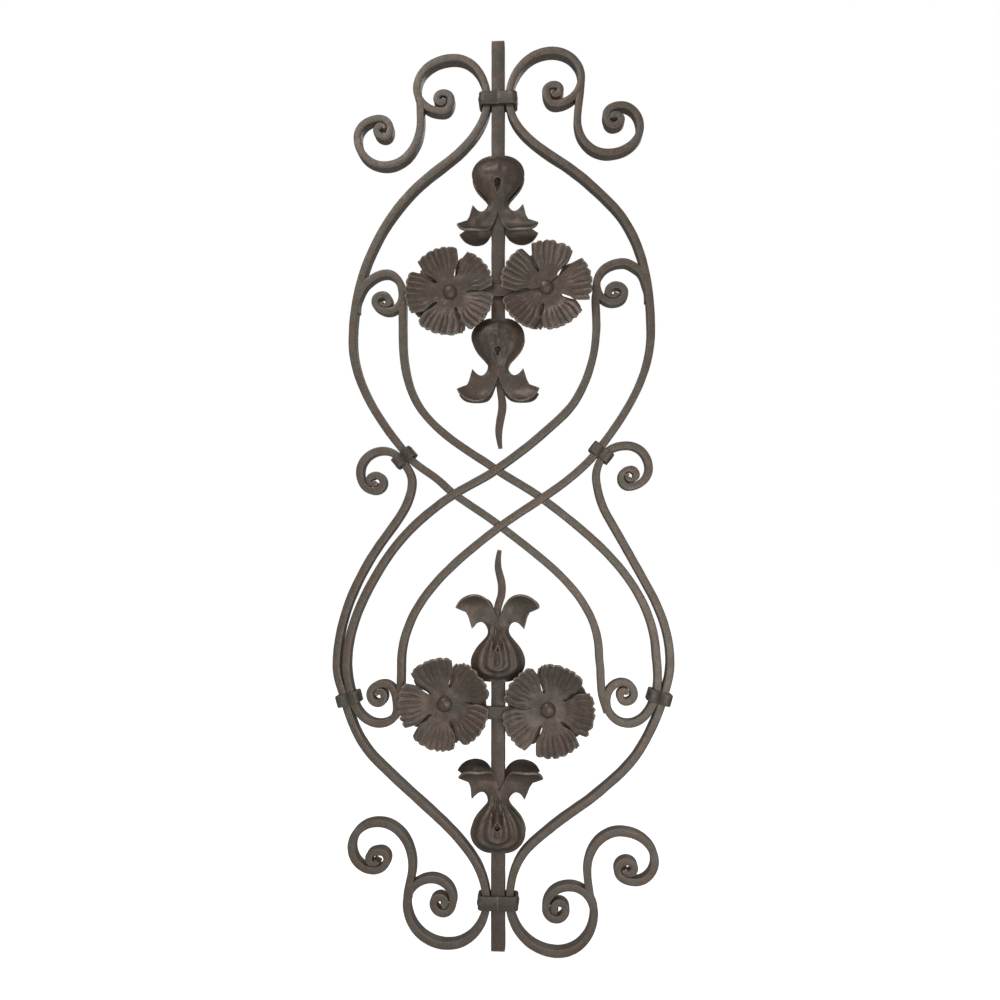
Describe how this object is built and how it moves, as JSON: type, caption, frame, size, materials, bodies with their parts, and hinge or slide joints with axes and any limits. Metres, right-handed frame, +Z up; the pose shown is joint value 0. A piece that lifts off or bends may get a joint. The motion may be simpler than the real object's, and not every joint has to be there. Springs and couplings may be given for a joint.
{
  "type": "wrought iron panel",
  "caption": "Tall openwork panel of forged flat-bar scrolls on a broken square stem, with wrapped collars, sheet leaves and riveted sheet flowers.",
  "frame": {"origin": "centre of the lower stem's bottom end face", "axes": "+Z up along the stems, -Y towards the viewer of the flower side, +X to that viewer's right"},
  "size_m": [0.37, 0.0452, 1.005],
  "materials": {
    "bar": "dark forged iron, waxed, lightly rusted",
    "stem": "dark forged iron, waxed, lightly rusted",
    "collar": "dark forged iron, waxed, lightly rusted",
    "sheet": "dark forged iron, waxed, lightly rusted",
    "rivet": "dark forged iron, waxed, lightly rusted"
  },
  "bodies": {
    "root": {"bottom_back_leaf": "sheet", "bottom_collar": "collar", "bottom_front_leaf": "sheet", "flower_rivets": "rivet", "left_inner_bar": "bar", "left_main_bar": "bar", "left_outer_bar": "bar", "left_waist_collar": "collar", "lower_back_leaf": "sheet", "lower_cross_strap": "stem", "lower_front_leaf": "sheet", "lower_left_back_flower": "sheet", "lower_left_collar": "collar", "lower_left_corner_curl": "bar", "lower_left_front_flower": "sheet", "lower_right_back_flower": "sheet", "lower_right_collar": "collar", "lower_right_corner_curl": "bar", "lower_right_front_flower": "sheet", "lower_stem": "stem", "middle_back_leaf": "sheet", "middle_front_leaf": "sheet", "right_inner_bar": "bar", "right_main_bar": "bar", "right_outer_bar": "bar", "right_waist_collar": "collar", "top_collar": "collar", "upper_back_leaf": "sheet", "upper_cross_strap": "stem", "upper_front_leaf": "sheet", "upper_left_back_flower": "sheet", "upper_left_corner_curl": "bar", "upper_left_front_flower": "sheet", "upper_left_side_scroll": "bar", "upper_right_back_flower": "sheet", "upper_right_corner_curl": "bar", "upper_right_front_flower": "sheet", "upper_right_side_scroll": "bar", "upper_stem": "stem"}
  },
  "joints": []
}
